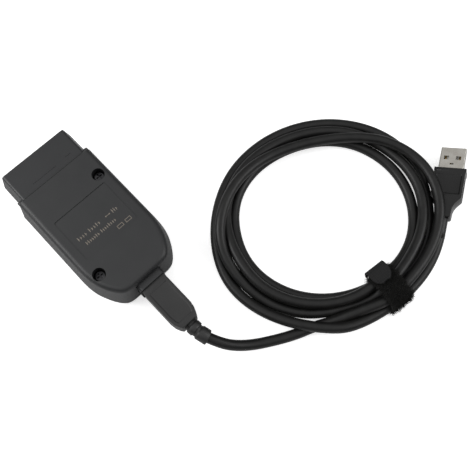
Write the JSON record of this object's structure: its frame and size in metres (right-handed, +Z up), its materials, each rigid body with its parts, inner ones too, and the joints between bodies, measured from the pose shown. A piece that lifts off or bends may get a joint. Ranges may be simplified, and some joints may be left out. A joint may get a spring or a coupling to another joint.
{
  "type": "obd code reader",
  "caption": "Hand-sized vehicle diagnostic interface with a flat connector plug, screwed two-part case and a coiled, tied lead ending in a computer plug.",
  "frame": {"origin": "on the table under the middle of the reader, from the vehicle connector's face to the face of the bezel round its cable socket", "axes": "+X from the vehicle connector to the cable end, +Z up, away from the table"},
  "size_m": [0.1723, 0.1813, 0.0225],
  "materials": {
    "case_plastic": "fine moulded texture, dark grey",
    "connector_plastic": "fine moulded texture, dark grey",
    "screw_steel": "black oxide",
    "pin_metal": "tin plated brass",
    "board_laminate": "green solder mask",
    "chip_plastic": "moulded epoxy",
    "can_metal": "satin can",
    "plug_steel": "bright nickel plate",
    "insulator_plastic": "white nylon",
    "contact_metal": "gold flash",
    "grip_plastic": "soft moulded vinyl",
    "gloss_grip": "glossy moulded vinyl",
    "cord_jacket": "smooth vinyl jacket, satin",
    "tie_fabric": "looped pile",
    "tie_woven": "woven tape"
  },
  "bodies": {
    "reader": {"top_shell": "case_plastic", "bottom_shell": "case_plastic", "case_screws": "screw_steel", "obd_shroud": "connector_plastic", "obd_pin_carrier": "connector_plastic", "obd_pins": "pin_metal", "circuit_board": "board_laminate", "microcontroller": "chip_plastic", "usb_interface_chip": "chip_plastic", "can_transceiver": "chip_plastic", "k_line_driver": "chip_plastic", "crystal": "can_metal", "voltage_regulator": "chip_plastic", "capacitors": "can_metal", "chip_passives": "chip_plastic", "usb_bezel": "connector_plastic", "usb_socket_shell": "plug_steel", "usb_socket_insulator": "insulator_plastic", "usb_socket_contacts": "contact_metal"},
    "cable": {"usb_b_shell": "plug_steel", "usb_b_insulator": "insulator_plastic", "usb_b_contacts": "contact_metal", "usb_b_grip": "grip_plastic", "strain_relief": "grip_plastic", "cable_lead": "cord_jacket", "cable_coil": "cord_jacket", "tie_band": "tie_fabric", "tie_tab": "tie_woven", "usb_a_grip": "gloss_grip", "usb_a_shell": "plug_steel", "usb_a_insulator": "insulator_plastic", "usb_a_contacts": "contact_metal"}
  },
  "joints": [
    {"name": "plug_pull", "type": "slide", "parent": "reader", "child": "cable", "axis": [1, 0, 0], "range_m": [0, 0.015]}
  ]
}
